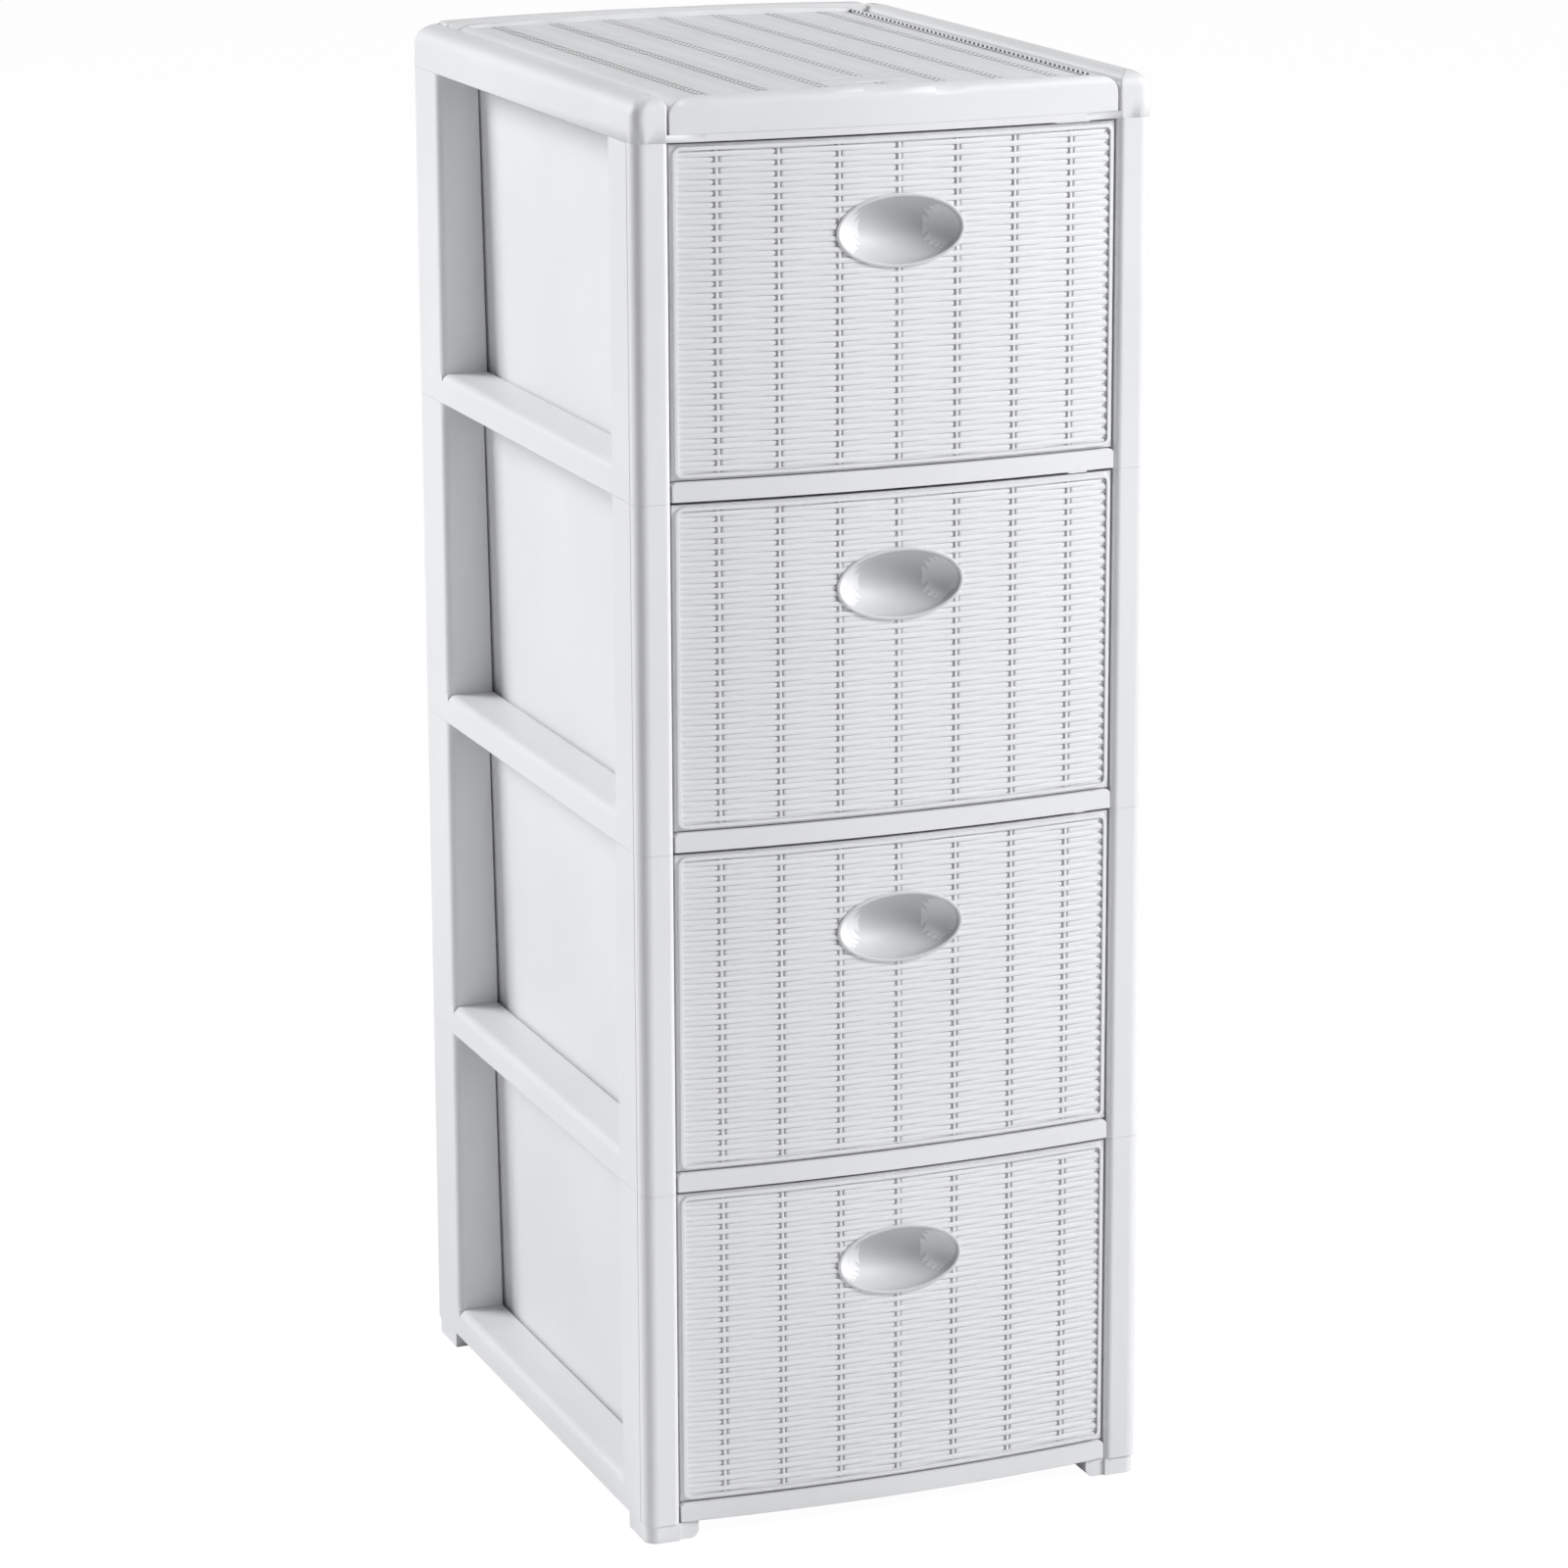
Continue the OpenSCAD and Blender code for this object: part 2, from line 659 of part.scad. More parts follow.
module top_panel() {
    field_half = panel_half - panel_strip;
    lip_w = 2 * (panel_half - panel_side_r);
    color(white) translate([0, 0, top_z]) difference() {
        union() {
            panel_body(0);
            along_y(panel_back - rear_lip_d, panel_back)
                crowned(lip_w, lip_h, top_h + rear_lip_rise, crown + rear_lip_rise);
        }
        translate([0, 0, -panel_field_depth]) panel_body(panel_t);
        // woven field, parallel to the crowned top and to the bowed apron
        intersection() {
            along_y(-tower_d / 2, panel_back - rear_lip_d) difference() {
                translate([-field_half, top_h / 2]) square([2 * field_half, top_h]);
                translate([0, top_h - crown_radius(0)])
                    circle(crown_radius(panel_field_depth), $fn = 2 * big_fn);
            }
            translate([0, lip_y, 0])
                cylinder(r = lip_r - apron_set - panel_strip_front, h = 2 * top_h, $fn = big_fn);
        }
    }
}

// ---------- feet ----------

// Plan of a foot, drawn as the left one with its outer face at x = 0 and the face above it at y = 0
module foot_plan(l, r) {
    difference() {
        translate([foot_inset, foot_inset]) square([post_w - foot_inset, l - foot_inset]);
        translate([foot_inset, foot_inset]) corner_off(r);
    }
    translate([post_w - cut, bar_recess + foot_inset])
        square([foot_reach - post_w + cut, l - bar_recess - foot_inset]);
}

module foot(l, r) {
    intersection() {
        linear_extrude(foot_h) foot_plan(l, r);
        along_y(-cut, l + cut) difference() {
            square([foot_reach, foot_h]);
            translate([foot_reach, 0]) mirror([1, 0]) corner_off(foot_end_r);
        }
    }
}

module foot_front() {
    translate([-tower_w / 2, front_y, 0]) {
        foot(foot_front_l, front_corner_r);
        translate([0, 0, foot_h - cut]) intersection() {
            tenons(tenon_h + cut);
            cube([tower_w, front_post_d, level_h]);
        }
    }
}

module foot_rear() {
    translate([-tower_w / 2, front_y, 0]) {
        translate([0, body_d, 0]) mirror([0, 1, 0]) foot(foot_rear_l, rear_corner_r);
        translate([0, 0, foot_h - cut]) intersection() {
            tenons(tenon_h + cut);
            translate([0, body_d / 2, 0]) cube([tower_w, body_d, level_h]);
        }
    }
}

module foot_front_left() { color(white) foot_front(); }
module foot_front_right() { color(white) mirror([1, 0, 0]) foot_front(); }
module foot_rear_left() { color(white) foot_rear(); }
module foot_rear_right() { color(white) mirror([1, 0, 0]) foot_rear(); }

// ---------- what is drawn ----------

top_frame();
top_panel();
for (n = [1 : levels]) {
    side_frame_left(n);
    side_frame_right(n);
    shelf(n);
    drawer(n);
}
foot_front_left();
foot_front_right();
foot_rear_left();
foot_rear_right();
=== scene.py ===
"""White plastic drawer tower: the moulded finish, the woven relief, the handle cups
and the studio round the CAD part."""
import math
import bmesh
import bpy
from mathutils import Matrix, Vector


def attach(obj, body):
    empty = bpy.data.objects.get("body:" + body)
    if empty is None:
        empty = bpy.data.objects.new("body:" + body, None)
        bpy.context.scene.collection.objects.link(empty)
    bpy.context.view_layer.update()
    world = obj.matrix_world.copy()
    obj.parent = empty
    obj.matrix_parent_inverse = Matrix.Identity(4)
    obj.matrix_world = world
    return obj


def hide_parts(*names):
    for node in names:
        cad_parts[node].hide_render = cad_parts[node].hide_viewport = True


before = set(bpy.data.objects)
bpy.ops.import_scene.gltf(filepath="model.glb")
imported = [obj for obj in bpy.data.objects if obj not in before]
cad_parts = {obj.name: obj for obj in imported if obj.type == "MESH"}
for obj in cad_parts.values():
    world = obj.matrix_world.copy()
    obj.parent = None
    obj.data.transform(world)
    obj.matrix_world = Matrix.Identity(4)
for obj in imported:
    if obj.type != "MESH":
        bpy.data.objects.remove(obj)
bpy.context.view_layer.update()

MM = 0.001
LEVELS = 4

# ---------- sizes of the CAD part that the pieces here sit on, in millimetres ----------

TOWER_W = 300
TOWER_D = 390
LEVEL_H = 193
FOOT_H = 10
POST_W = 20
REAR_CORNER_R = 12                       # round outer corners of the rear posts
FRONT_BOW = 7.5
BAR_RECESS = 1.5
TOP_H = 25
SIDE_X = TOWER_W / 2
FRONT_Y = -TOWER_D / 2
REAR_Y = TOWER_D / 2
TOP_Z = FOOT_H + LEVELS * LEVEL_H        # underside of the top frame
RAIL_Z = TOP_Z + TOP_H                   # top of its side rails, and of the crowned panel
INNER_HALF = SIDE_X - POST_W


def arc_radius(half, rise):
    """Radius of an arc that rises by rise over the half width half."""
    return (half * half + rise * rise) / (2 * rise)


def arc_height(radius, x):
    """Height of an arc at x from its middle, under its highest point and so 0 or less."""
    return math.sqrt(radius * radius - x * x) - radius


BOW_R = arc_radius(INNER_HALF, FRONT_BOW)
LIP_R = arc_radius(INNER_HALF, FRONT_BOW - BAR_RECESS)
LIP_Y = FRONT_Y + LIP_R

# drawer front: its field lies inside the rim
FRONT_SET = 0.5
FIELD_DEPTH = 1.6
FIELD_HALF = 125.3
FIELD_LOW = 15.3
FIELD_HIGH = 188.3
SCOOP_Z = 140.4
SCOOP_HALF_W = 35.5
SCOOP_HALF_H = 18.35
SCOOP_COLLAR = 3.5
SCOOP_BOWL = 15
RING_W = 1.6
RING_PROUD = 0.2

# top panel: its field lies inside the borders
PANEL_HALF = 129.3
PANEL_CROWN = 2
PANEL_STRIP = 9
PANEL_STRIP_FRONT = 8
PANEL_FIELD_DEPTH = 2.6
PANEL_FIELD_BACK = 173.1
APRON_SET = 0.6
CROWN_R = arc_radius(PANEL_HALF, PANEL_CROWN)
DECK_HALF = PANEL_HALF - PANEL_STRIP
DECK_PLATE = (-5, -149, 25.5, 11)        # x, y, half width and half depth of the bare oval plate

# ---------- sizes of the weave ----------

# on the drawer fronts, where they were measured
STAKE_PITCH = 34.1
STAKE_PLACE = -1.0
STRAND = 3.01
STRAND_TOP = 184.6
STAKE_CELLS = 26                         # cells of the grid from stake to stake
STRAND_ROWS = 6                          # rows of the grid in one strand
HOLE_MARGIN = 0.8                        # from the recess to the weave round it

# on the top
DECK_STRAND = 3.1
DECK_STRAND_BACK = PANEL_FIELD_BACK - 1.6
DECK_STAKE_CELLS = 20
DECK_STRAND_ROWS = 5
DECK_GRID_FRONT = 6                      # from the front of the tower to where the grid starts
DECK_SLOT = 1.3
DECK_WALL_SHADE = 0.6
DECK_TOOTH = 2.8
DECK_BLUNTNESS = 6.0


# ---------- node trees written as expressions ----------

class Value:
    """A socket of a node tree that is added, multiplied and compared as a number is."""

    def __init__(self, tree, socket):
        self.tree = tree
        self.socket = socket

    def maths(self, operation, first, second=None, clamp=False):
        inputs = {0: first} if second is None else {0: first, 1: second}
        return node(self.tree, "ShaderNodeMath", {"operation": operation, "use_clamp": clamp}, inputs)

    def __add__(self, other):
        return self.maths("ADD", self, other)

    def __radd__(self, other):
        return self.maths("ADD", other, self)

    def __sub__(self, other):
        return self.maths("SUBTRACT", self, other)

    def __rsub__(self, other):
        return self.maths("SUBTRACT", other, self)

    def __mul__(self, other):
        return self.maths("MULTIPLY", self, other)

    def __rmul__(self, other):
        return self.maths("MULTIPLY", other, self)

    def __truediv__(self, other):
        return self.maths("DIVIDE", self, other)

    def __pow__(self, other):
        return self.maths("POWER", self, other)

    def __mod__(self, other):
        return self.maths("FLOORED_MODULO", self, other)

    def __neg__(self):
        return self.maths("MULTIPLY", self, -1.0)

    def __lt__(self, other):
        return self.maths("LESS_THAN", self, other)

    def __gt__(self, other):
        return self.maths("GREATER_THAN", self, other)

    def __abs__(self):
        return self.maths("ABSOLUTE", self)

    def floor(self):
        return self.maths("FLOOR", self)

    def sin(self):
        return self.maths("SINE", self)

    def cos(self):
        return self.maths("COSINE", self)

    def root(self):
        return self.maths("SQRT", self)

    def at_least(self, other):
        return self.maths("MAXIMUM", self, other)

    def at_most(self, other):
        return self.maths("MINIMUM", self, other)

    def rising(self, start, end):
        """0 up to start and 1 from end on, with a soft step between them."""
        share = self.maths("DIVIDE", self - start, end - start, clamp=True)
        return share * share * (3.0 - 2.0 * share)

    def parts(self):
        """The x, y and z of a vector."""
        split = node(self.tree, "ShaderNodeSeparateXYZ", {}, {0: self}).socket.node
        return [Value(self.tree, out) for out in split.outputs]


def node(tree, kind, settings, inputs, output=0):
    """Adds a node: its settings first, then the values and links of its sockets, by name or number."""
    made = tree.nodes.new(kind)
    for name, value in settings.items():
        setattr(made, name, value)
    for key, value in inputs.items():
        if isinstance(value, Value):
            tree.links.new(value.socket, made.inputs[key])
        else:
            made.inputs[key].default_value = value
    return Value(tree, made.outputs[output]) if made.outputs else made


# ---------- plastics ----------

PLASTIC_IOR = 1.49
PLASTIC_SHEEN = 0.42      # share of the mirrored light that is kept
RELIEF = 0.0004           # height of the fine relief, in metres
EDGE_SAMPLES = 4

# what the Mix node calls share, first, second and result when it mixes colours
MIX_SHARE, MIX_FIRST, MIX_SECOND, MIX_RESULT = 0, 6, 7, 2
ATTRIBUTE_FACTOR = 2


def new_material(name):
    """An empty node material and its tree."""
    material = bpy.data.materials.new(name)
    material.use_nodes = True
    material.node_tree.nodes.clear()
    return material, material.node_tree


def finish_plastic(tree, colour, roughness, normal):
    """Moulded polypropylene: a satin sheen over a dense colour."""
    shader = node(tree, "ShaderNodeBsdfPrincipled", {}, {
        "Base Color": colour, "Roughness": roughness, "Normal": normal,
        "IOR": PLASTIC_IOR, "Specular IOR Level": PLASTIC_SHEEN})
    node(tree, "ShaderNodeOutputMaterial", {}, {"Surface": shader})


def place_on_object(tree):
    return node(tree, "ShaderNodeTexCoord", {}, {}, output="Object")


def noise(tree, place, per_metre, detail=3.0, roughness=0.5):
    """Soft noise about 0.5 with a given number of spots in a metre."""
    return node(tree, "ShaderNodeTexNoise", {}, {
        "Vector": place, "Scale": per_metre, "Detail": detail, "Roughness": roughness})


def mixed(tree, share, first, second):
    """Colour between first and second."""
    return node(tree, "ShaderNodeMix", {"data_type": "RGBA"},
                {MIX_SHARE: share, MIX_FIRST: first, MIX_SECOND: second}, output=MIX_RESULT)


def moulded_plastic(name, colour, shade, grain=1.0, edge_r=0.7, pit_shade_depth=0.0):
    """White plastic with the cloudy gloss, the fine moulded grain and the soft edges of a moulding.
    Where the piece has slots and grooves, a stored attribute darkens them: painted shade on the floors and
    walls of the slots and in the grooves between strands."""
    material, tree = new_material(name)
    place = place_on_object(tree)
    cloud = noise(tree, place, per_metre=9.0, detail=2.0)
    fine = noise(tree, place, per_metre=900.0, detail=2.0, roughness=0.6)
    waves = noise(tree, place, per_metre=45.0, detail=1.5)
    tint = mixed(tree, cloud.rising(0.3, 0.7), (*shade, 1), (*colour, 1))
    # painted shade: darker colour in the slots, on their walls and in the grooves, where the stored
    # attribute says
    if pit_shade_depth:
        pit_shade = node(tree, "ShaderNodeAttribute", {"attribute_name": "pit_shade"}, {}, output=ATTRIBUTE_FACTOR)
        dark = tuple(c * (1 - pit_shade_depth) for c in shade)
        tint = mixed(tree, pit_shade, tint, (*dark, 1))
    roughness = 0.40 + 0.10 * cloud + 0.05 * fine
    height = 0.8 * waves + 0.25 * grain * fine
    inputs = {"Height": height, "Strength": 0.10, "Distance": RELIEF}
    if edge_r:
        inputs["Normal"] = node(tree, "ShaderNodeBevel", {"samples": EDGE_SAMPLES}, {"Radius": edge_r * MM})
    finish_plastic(tree, tint, roughness, node(tree, "ShaderNodeBump", {}, inputs))
    return material


WHITE = (0.86, 0.868, 0.885)
WHITE_SHADE = (0.835, 0.843, 0.86)
CUP_SHADED_WHITE = (0.66, 0.668, 0.685)         # painted shade: a darker white for the shade that falls in the recess
CUP_SHADE = (0.64, 0.648, 0.665)
frame_plastic = moulded_plastic("frame_plastic", WHITE, WHITE_SHADE)
drawer_plastic = moulded_plastic("drawer_plastic", WHITE, WHITE_SHADE)
# the woven plastics paint shade into their slots and grooves
woven_plastic = moulded_plastic("woven_plastic", WHITE, WHITE_SHADE, edge_r=0, pit_shade_depth=0.62)
deck_plastic = moulded_plastic("deck_plastic", WHITE, WHITE_SHADE, edge_r=0, pit_shade_depth=0.88)
shaded_cup_plastic = moulded_plastic("shaded_cup_plastic", CUP_SHADED_WHITE, CUP_SHADE, grain=0.5, edge_r=0)


def dress_cad_nodes():
    """Gives every CAD node its plastic."""
    for name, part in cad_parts.items():
        plastic = drawer_plastic if name.startswith("drawer") else frame_plastic
        part.data.materials.clear()
        part.data.materials.append(plastic)


# ---------- making pieces ----------

# turns a piece drawn flat, with y up, into an upright one that faces -Y
UPRIGHT = Matrix(((1, 0, 0, 0), (0, 0, -1, 0), (0, 1, 0, 0), (0, 0, 0, 1)))


def level_z(n):
    """Height of the underside of level n, counted from 1 at the floor."""
    return FOOT_H + (n - 1) * LEVEL_H


def shift(x, y, z):
    """Matrix that moves a mesh by millimetres."""
    return Matrix.Translation(Vector((x, y, z)) * MM)


def plain_mesh(name, points, faces, material):
    """Smoothly shaded mesh of faces between points in millimetres."""
    mesh = bpy.data.meshes.new(name)
    mesh.from_pydata([(x * MM, y * MM, z * MM) for x, y, z in points], [], faces)
    mesh.shade_smooth()
    mesh.materials.append(material)
    return mesh


def add_object(name, mesh):
    made = bpy.data.objects.new(name, mesh)
    bpy.context.scene.collection.objects.link(made)
    return made


def add_piece(name, mesh, body):
    """Puts a finished mesh in the scene as a piece of that body."""
    piece = add_object(name, mesh)
    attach(piece, body)
    return piece


def new_tree(name, values):
    """A Geometry Nodes tree with an input for every named value, and those inputs by name."""
    tree = bpy.data.node_groups.new(name, "GeometryNodeTree")
    tree.interface.new_socket(name="Geometry", in_out="OUTPUT", socket_type="NodeSocketGeometry")
    for key, value in values.items():
        kind = "NodeSocketInt" if isinstance(value, int) else "NodeSocketFloat"
        tree.interface.new_socket(name=key, in_out="INPUT", socket_type=kind)
    source = tree.nodes.new("NodeGroupInput")
    return tree, {key: Value(tree, source.outputs[key]) for key in values}


def with_attribute(tree, geometry, name, kind, value):
    """The geometry with a value stored at each of its points."""
    return node(tree, "GeometryNodeStoreNamedAttribute", {"data_type": kind, "domain": "POINT"}, {
        "Geometry": geometry, "Name": name, "Value": value})


def end_tree(tree, geometry, plastic):
    """Gives the geometry its plastic and hands it out."""
    geometry = node(tree, "GeometryNodeSetMaterial", {}, {"Geometry": geometry, "Material": plastic})
    node(tree, "NodeGroupOutput", {}, {0: geometry})


def grown(name, tree, values):
    """The plain mesh that a tree makes."""
    blank = add_object(name + "_source", bpy.data.meshes.new(name + "_source"))
    modifier = blank.modifiers.new("grow", "NODES")
    modifier.node_group = tree
    for item in tree.interface.items_tree:
        if item.in_out == "INPUT" and item.name in values:
            modifier[item.identifier] = values[item.name]
    bpy.context.view_layer.update()
    evaluated = blank.evaluated_get(bpy.context.evaluated_depsgraph_get())
    mesh = bpy.data.meshes.new_from_object(evaluated)
    mesh.name = name
    blank.modifiers.clear()
    bpy.data.objects.remove(blank)
    return mesh


# ---------- woven relief ----------

COLUMN_CROWD = 0.8       # how far the grid's lines crowd together at the stakes, under 1
ROW_CROWD = 0.45         # how far the grid's rows crowd together at the edges of a strand
CROWD_STEPS = 60         # steps of Newton's method that undo the crowding
STRAND_MEAN = 0.72       # height of a strand midway between two stakes
STRAND_SWING = 0.34      # how far it rises over a stake, and sinks before it goes under the next
GROOVE = 0.5             # how far a strand's edges lie under its middle
GROOVE_SHADE = 0.22      # painted shade in the lines between strands, beside the slots
GROOVE_START = 0.6       # where across a strand that shade starts
WALL_START = 0.55        # where across a strand the shade of a slot's wall starts
WALL_END = 0.9           # and where it is full
STAKE_HALF = 0.78        # half width of a stake
STAKE_TALL = 0.72        # height of a stake where it shows
STAKE_ROUND = 0.25       # share of it that is lost towards its sides
STAKE_REACH = 1.05       # how far over a stake the painted shade of the slots and their walls is left out, in half widths
NOSE_LEFT = 1.5          # distance from the stake to the pointed end of the strand on its left
NOSE_LEFT_FLARE = 1.35   # how much further off the corners of that end are
NOSE_RIGHT = 1.95        # distance from the stake to the blunt end of the strand on its right
NOSE_RIGHT_FLARE = 0.2
NOSE_DROP = 0.45         # length over which a strand's end goes down
TOOTH = 3.2              # depth of the notches along the right border of a front
TOOTH_DROP = 0.5         # length over which a strand goes down into a notch
TOOTH_REACH = 1.0        # how far beside the notches the strands may still go down
FIELD_MARGIN = 0.4       # how far a woven field runs on under its borders
MIDDLE = 0.05            # share of the hole's size inside which no point is drawn outwards fully


def uncrowded(x, pitch):
    """The grid's own x whose crowded place is x, found by Newton's method."""
    turn = 2 * math.pi / pitch
    own = x
    for _ in range(CROWD_STEPS):
        error = own - COLUMN_CROWD / turn * math.sin(turn * own) - x
        own -= error / (1.02 - COLUMN_CROWD * math.cos(turn * own))
    return own


class Weave:
    """Sizes of one woven field in millimetres, with x across it and y up or back along it."""

    def __init__(self, half, low, high, strand, first_edge, face_r, fall, cells, rows, hole,
                 border_r=0, border_y=0, slot=1.0, wall_shade=0.0, tooth=TOOTH, bluntness=1.0):
        self.half = half              # half width, at which the notches on the right end
        self.low = low                # y of the lower or front border
        self.high = high              # y of the upper or rear border
        self.strand = strand          # width of one strand
        self.first_edge = first_edge  # y of the upper edge of the strand numbered 0
        self.face_r = face_r          # radius of the bowed or crowned face
        self.fall = fall              # from the height 0 of the piece down to the centre of that face
        self.cells = cells            # grid cells from stake to stake
        self.rows = rows              # grid rows in one strand
        self.hole = hole              # (x, y, half width, half height) of the ellipse left out
        self.border_r = border_r      # radius of a bowed lower border, or 0, and y of its centre
        self.border_y = border_y
        self.slot = slot              # length of the slots, as a share of that on a drawer front
        self.wall_shade = wall_shade  # how dark the painted shade on the walls of the slots is
        self.tooth = tooth            # depth of the notches along the right border
        self.bluntness = bluntness    # 1 for pointed notches, more for square ones


def weave_values(weave):
    """What goes into the tree, by name. Millimetres, and counts of the grid's lines."""
    left = uncrowded(-weave.half - FIELD_MARGIN - STAKE_PLACE, STAKE_PITCH)
    right = uncrowded(weave.half + FIELD_MARGIN - STAKE_PLACE, STAKE_PITCH)
    row = weave.strand / weave.rows
    above = math.ceil((weave.high - weave.first_edge) / row)
    below = math.ceil((weave.first_edge - weave.low) / row + 0.5)
    return {
        "Grid width": right - left,
        "Grid middle": (left + right) / 2,
        "Grid height": (above + below - 1) * row,
        "Grid centre": weave.first_edge + (above - below) * row / 2,
        "Columns": round((right - left) / STAKE_PITCH * weave.cells),
        "Rows": above + below,
        "Stake pitch": STAKE_PITCH,
        "Stake place": STAKE_PLACE,
        "Strand": weave.strand,
        "First edge": weave.first_edge,
        "Half width": weave.half,
        "Face radius": weave.face_r,
        "Swing": STRAND_SWING,
        "Slot": weave.slot,
        "Wall shade": weave.wall_shade,
        "Tooth": weave.tooth,
        "Bluntness": weave.bluntness,
    }


def place_on_weave(tree, v):
    """Adds to v what is known of a point: x and y, the number of its strand, and t across it."""
    grid_x, grid_y, _ = node(tree, "GeometryNodeInputPosition", {}, {}).parts()
    own = grid_x + v["Grid middle"]
    turn = 2 * math.pi / STAKE_PITCH
    v["x"] = own - COLUMN_CROWD / turn * (own * turn).sin() + v["Stake place"]
    # the strand's number counts down from the first edge, and t runs from -1 to 1 across it
    along = (v["First edge"] - grid_y - v["Grid centre"]) / v["Strand"]
    v["number"] = along.floor()
    even = 2.0 * (along - v["number"]) - 1.0
    v["t"] = even + ROW_CROWD / math.pi * (even * math.pi).sin()
    v["y"] = v["First edge"] - (v["number"] + 0.5 + v["t"] / 2.0) * v["Strand"]


def strand_height(v):
    """Height of the relief and depth of shade at a point, from what v knows of it."""
    near = ((v["x"] - v["Stake place"]) / v["Stake pitch"] + 0.5).floor()
    off = v["x"] - v["Stake place"] - near * v["Stake pitch"]
    under = (v["number"] + near) % 2.0 > 0.5
    swing = (off * (math.pi / STAKE_PITCH)).cos() * v["Swing"] * (1.0 - 2.0 * under)
    side, tt = abs(v["t"]), v["t"] * v["t"]
    nose_left = v["Slot"] * (NOSE_LEFT + NOSE_LEFT_FLARE * tt)
    nose_right = v["Slot"] * (NOSE_RIGHT + NOSE_RIGHT_FLARE * tt)
    left = (-off).rising(nose_left, nose_left + NOSE_DROP)
    right = off.rising(nose_right, nose_right + NOSE_DROP)
    beside = left.at_least(right)
    to_border = v["Half width"] - v["x"]
    tooth = (to_border - v["Tooth"] * (1.0 - side ** v["Bluntness"])).rising(0.0, TOOTH_DROP)
    # what is left of a strand that goes under, and so where the slots are
    whole = beside * (1.0 - (to_border < v["Tooth"] + TOOTH_REACH) * (1.0 - tooth))
    strand = (STRAND_MEAN + swing - GROOVE * tt * tt) * (1.0 - under * (1.0 - whole))
    across = abs(off) / STAKE_HALF
    stake = STAKE_TALL * (1.0 - STAKE_ROUND * across ** 2.0) * (across < 1.0) * under
    bare = 1.0 - (across < STAKE_REACH)
    next_slot = 1.0 - beside * (1.0 - (to_border < v["Tooth"]))
    wall = v["Wall shade"] * side.rising(WALL_START, WALL_END) * (1.0 - under)
    # painted shade: dark where a strand goes under, on the walls of the next slot and along the grooves
    # between strands
    pit_shade = bare * ((1.0 - whole) * under + next_slot * wall) + GROOVE_SHADE * side.rising(GROOVE_START, 1.0)
    return strand.at_least(stake), pit_shade.at_most(1.0)


def outside_hole(v, weave):
    """Where a point is drawn to when it falls in the hole or before a bowed border, and whether it did."""
    hole_x, hole_y, half_w, half_h = weave.hole
    dx = v["x"] - hole_x
    dy = v["y"] - hole_y
    ratio = ((dx / half_w) ** 2.0 + (dy / half_h) ** 2.0).root()
    gone = ratio < 1.0
    pull = gone / ratio.at_least(MIDDLE) + (1.0 - gone)
    x = hole_x + dx * pull
    y = hole_y + dy * pull
    if weave.border_r:
        border = weave.border_y - (weave.border_r ** 2 - x * x).root()
        gone = gone.at_least(y < border)
        y = y.at_least(border)
    return x, y, gone


def woven_tree(name, weave, plastic):
    """Geometry Nodes tree that makes a woven field as one sheet: strands over and under the stakes."""
    values = weave_values(weave)
    tree, v = new_tree(name, values)
    sheet = node(tree, "GeometryNodeMeshGrid", {}, {
        "Size X": v["Grid width"], "Size Y": v["Grid height"],
        "Vertices X": v["Columns"], "Vertices Y": v["Rows"]})
    place_on_weave(tree, v)
    height, pit_shade = strand_height(v)
    x, y, gone = outside_hole(v, weave)
    rise = ((weave.face_r + height) ** 2.0 - x * x).root() - weave.fall
    spot = node(tree, "ShaderNodeCombineXYZ", {}, {0: x * MM, 1: y * MM, 2: rise * MM})

    # stores the painted shade for the plastic
    kept = with_attribute(tree, sheet, "pit_shade", "FLOAT", pit_shade)
    kept = with_attribute(tree, kept, "gone", "BOOLEAN", gone)
    kept = node(tree, "GeometryNodeSetPosition", {}, {"Geometry": kept, "Position": spot})
    marked = node(tree, "GeometryNodeInputNamedAttribute", {"data_type": "BOOLEAN"}, {"Name": "gone"})
    kept = node(tree, "GeometryNodeDeleteGeometry", {"domain": "FACE"}, {
        "Geometry": kept, "Selection": marked})
    kept = node(tree, "GeometryNodeRemoveAttribute", {}, {"Geometry": kept, "Name": "gone"})
    kept = node(tree, "GeometryNodeSetShadeSmooth", {}, {"Geometry": kept, "Shade Smooth": True})
    kept = node(tree, "GeometryNodeRealizeInstances", {}, {"Geometry": kept})
    end_tree(tree, kept, plastic)
    return tree, values


def add_front_weaves():
    """The woven field of every drawer front, round its recess."""
    weave = Weave(
        half=FIELD_HALF, low=FIELD_LOW, high=FIELD_HIGH, strand=STRAND, first_edge=STRAND_TOP,
        face_r=BOW_R - FRONT_SET - FIELD_DEPTH, fall=BOW_R, cells=STAKE_CELLS, rows=STRAND_ROWS,
        hole=(0, SCOOP_Z, SCOOP_HALF_W + HOLE_MARGIN, SCOOP_HALF_H + HOLE_MARGIN))
    flat = grown("front_weave", *woven_tree("front_weave", weave, woven_plastic))
    for n in range(1, LEVELS + 1):
        mesh = flat.copy()
        mesh.transform(shift(0, FRONT_Y, level_z(n)) @ UPRIGHT)
        add_piece(f"weave_{n}", mesh, f"drawer_{n}")


